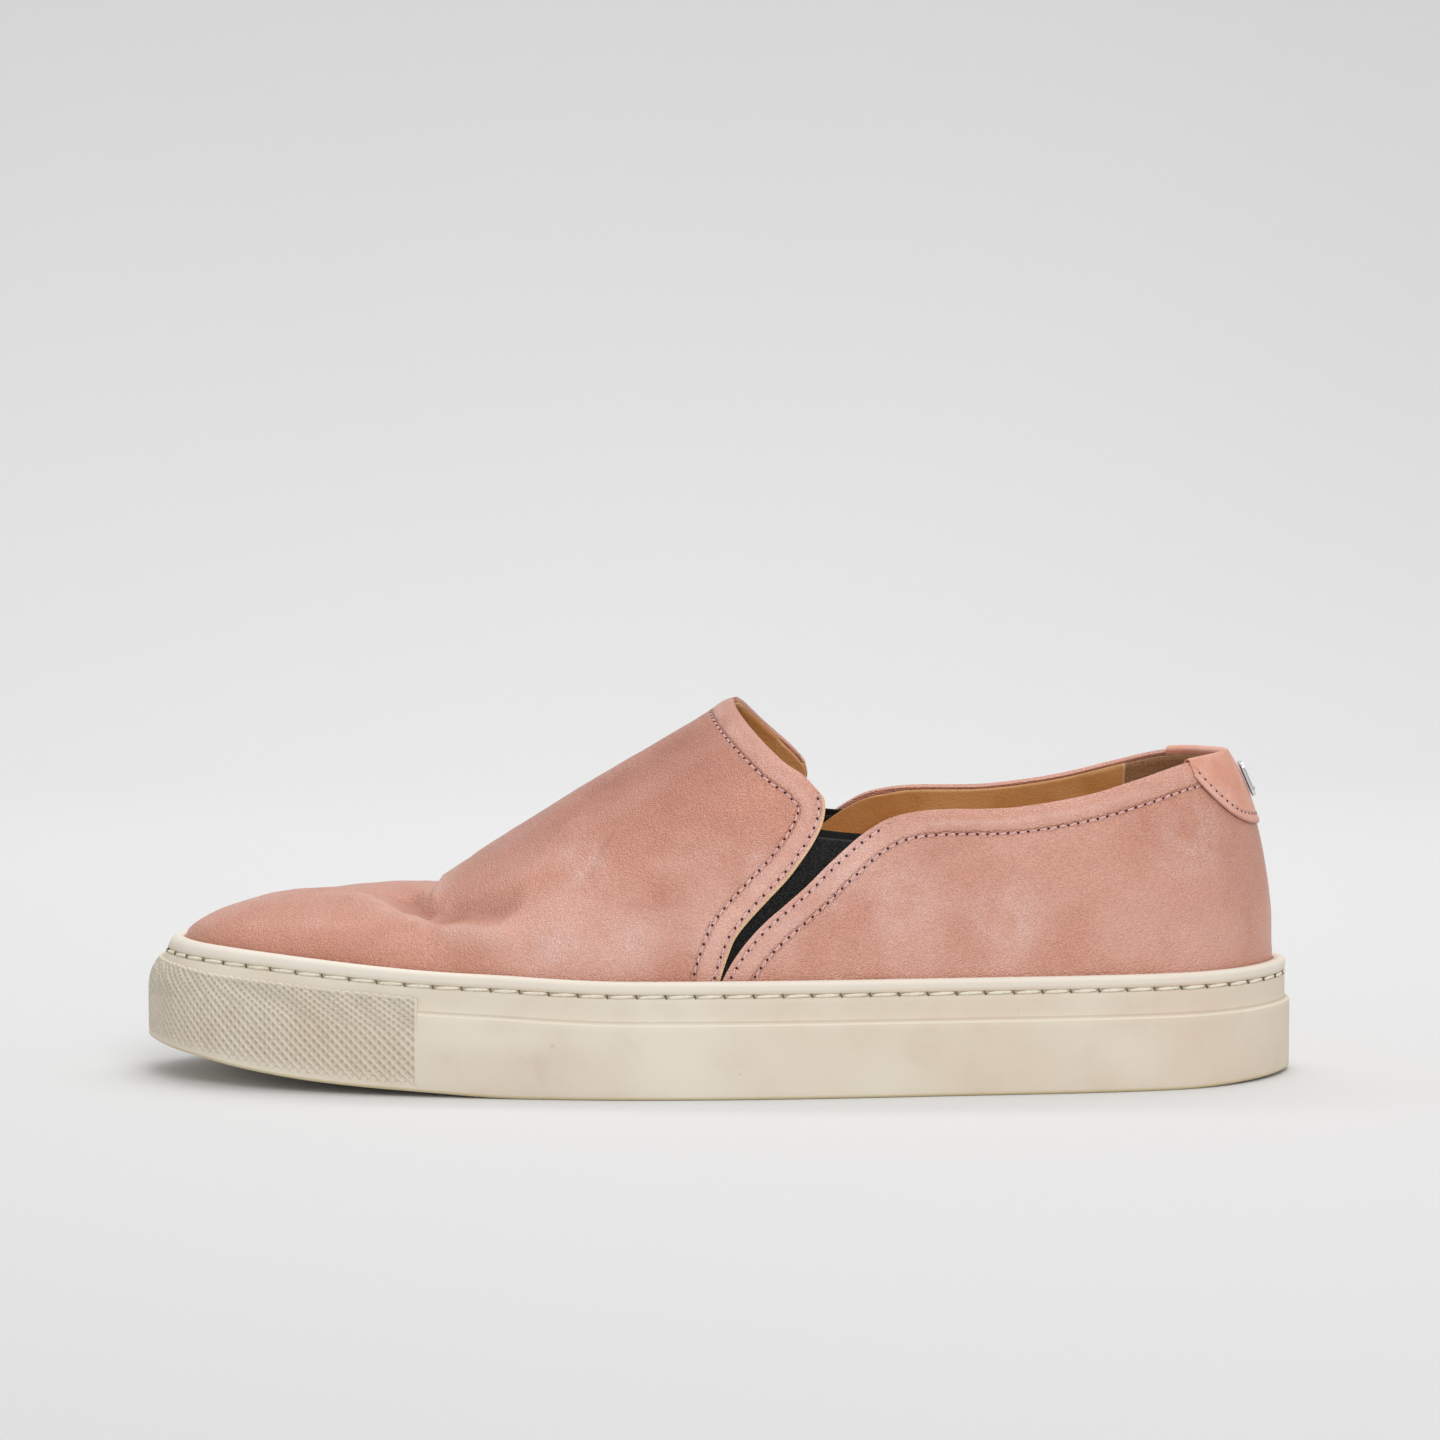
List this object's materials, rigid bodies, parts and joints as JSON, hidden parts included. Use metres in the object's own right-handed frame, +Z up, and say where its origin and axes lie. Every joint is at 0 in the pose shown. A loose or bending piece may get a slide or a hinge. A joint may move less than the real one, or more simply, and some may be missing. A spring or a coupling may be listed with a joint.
{
  "type": "slip-on sneaker",
  "caption": "Left slip-on sneaker: rose leather upper with a crease behind the toe box, black elastic gores and a cream stitched rubber cupsole with a knurled toe bumper.",
  "frame": {"origin": "on the floor, under the middle of the sole's length and width", "axes": "-X towards the toe, +X towards the heel, -Y the lateral (outer) side of the left foot, +Y the medial side, +Z up"},
  "size_m": [0.2949, 0.105, 0.0958],
  "materials": {
    "cream_rubber": "matte moulded rubber",
    "rose_leather": "soft glazed leather with fine grain",
    "tan_lining": "smooth vegetable-tanned lining",
    "black_elastic": "ribbed elastic webbing",
    "tab_leather": "soft glazed leather",
    "polished_steel": "polished"
  },
  "bodies": {
    "root": {"sole": "cream_rubber", "upper": "rose_leather", "insole": "tan_lining", "gore_lateral": "black_elastic", "gore_medial": "black_elastic", "heel_tab": "tab_leather", "heel_plate": "polished_steel"}
  },
  "joints": []
}
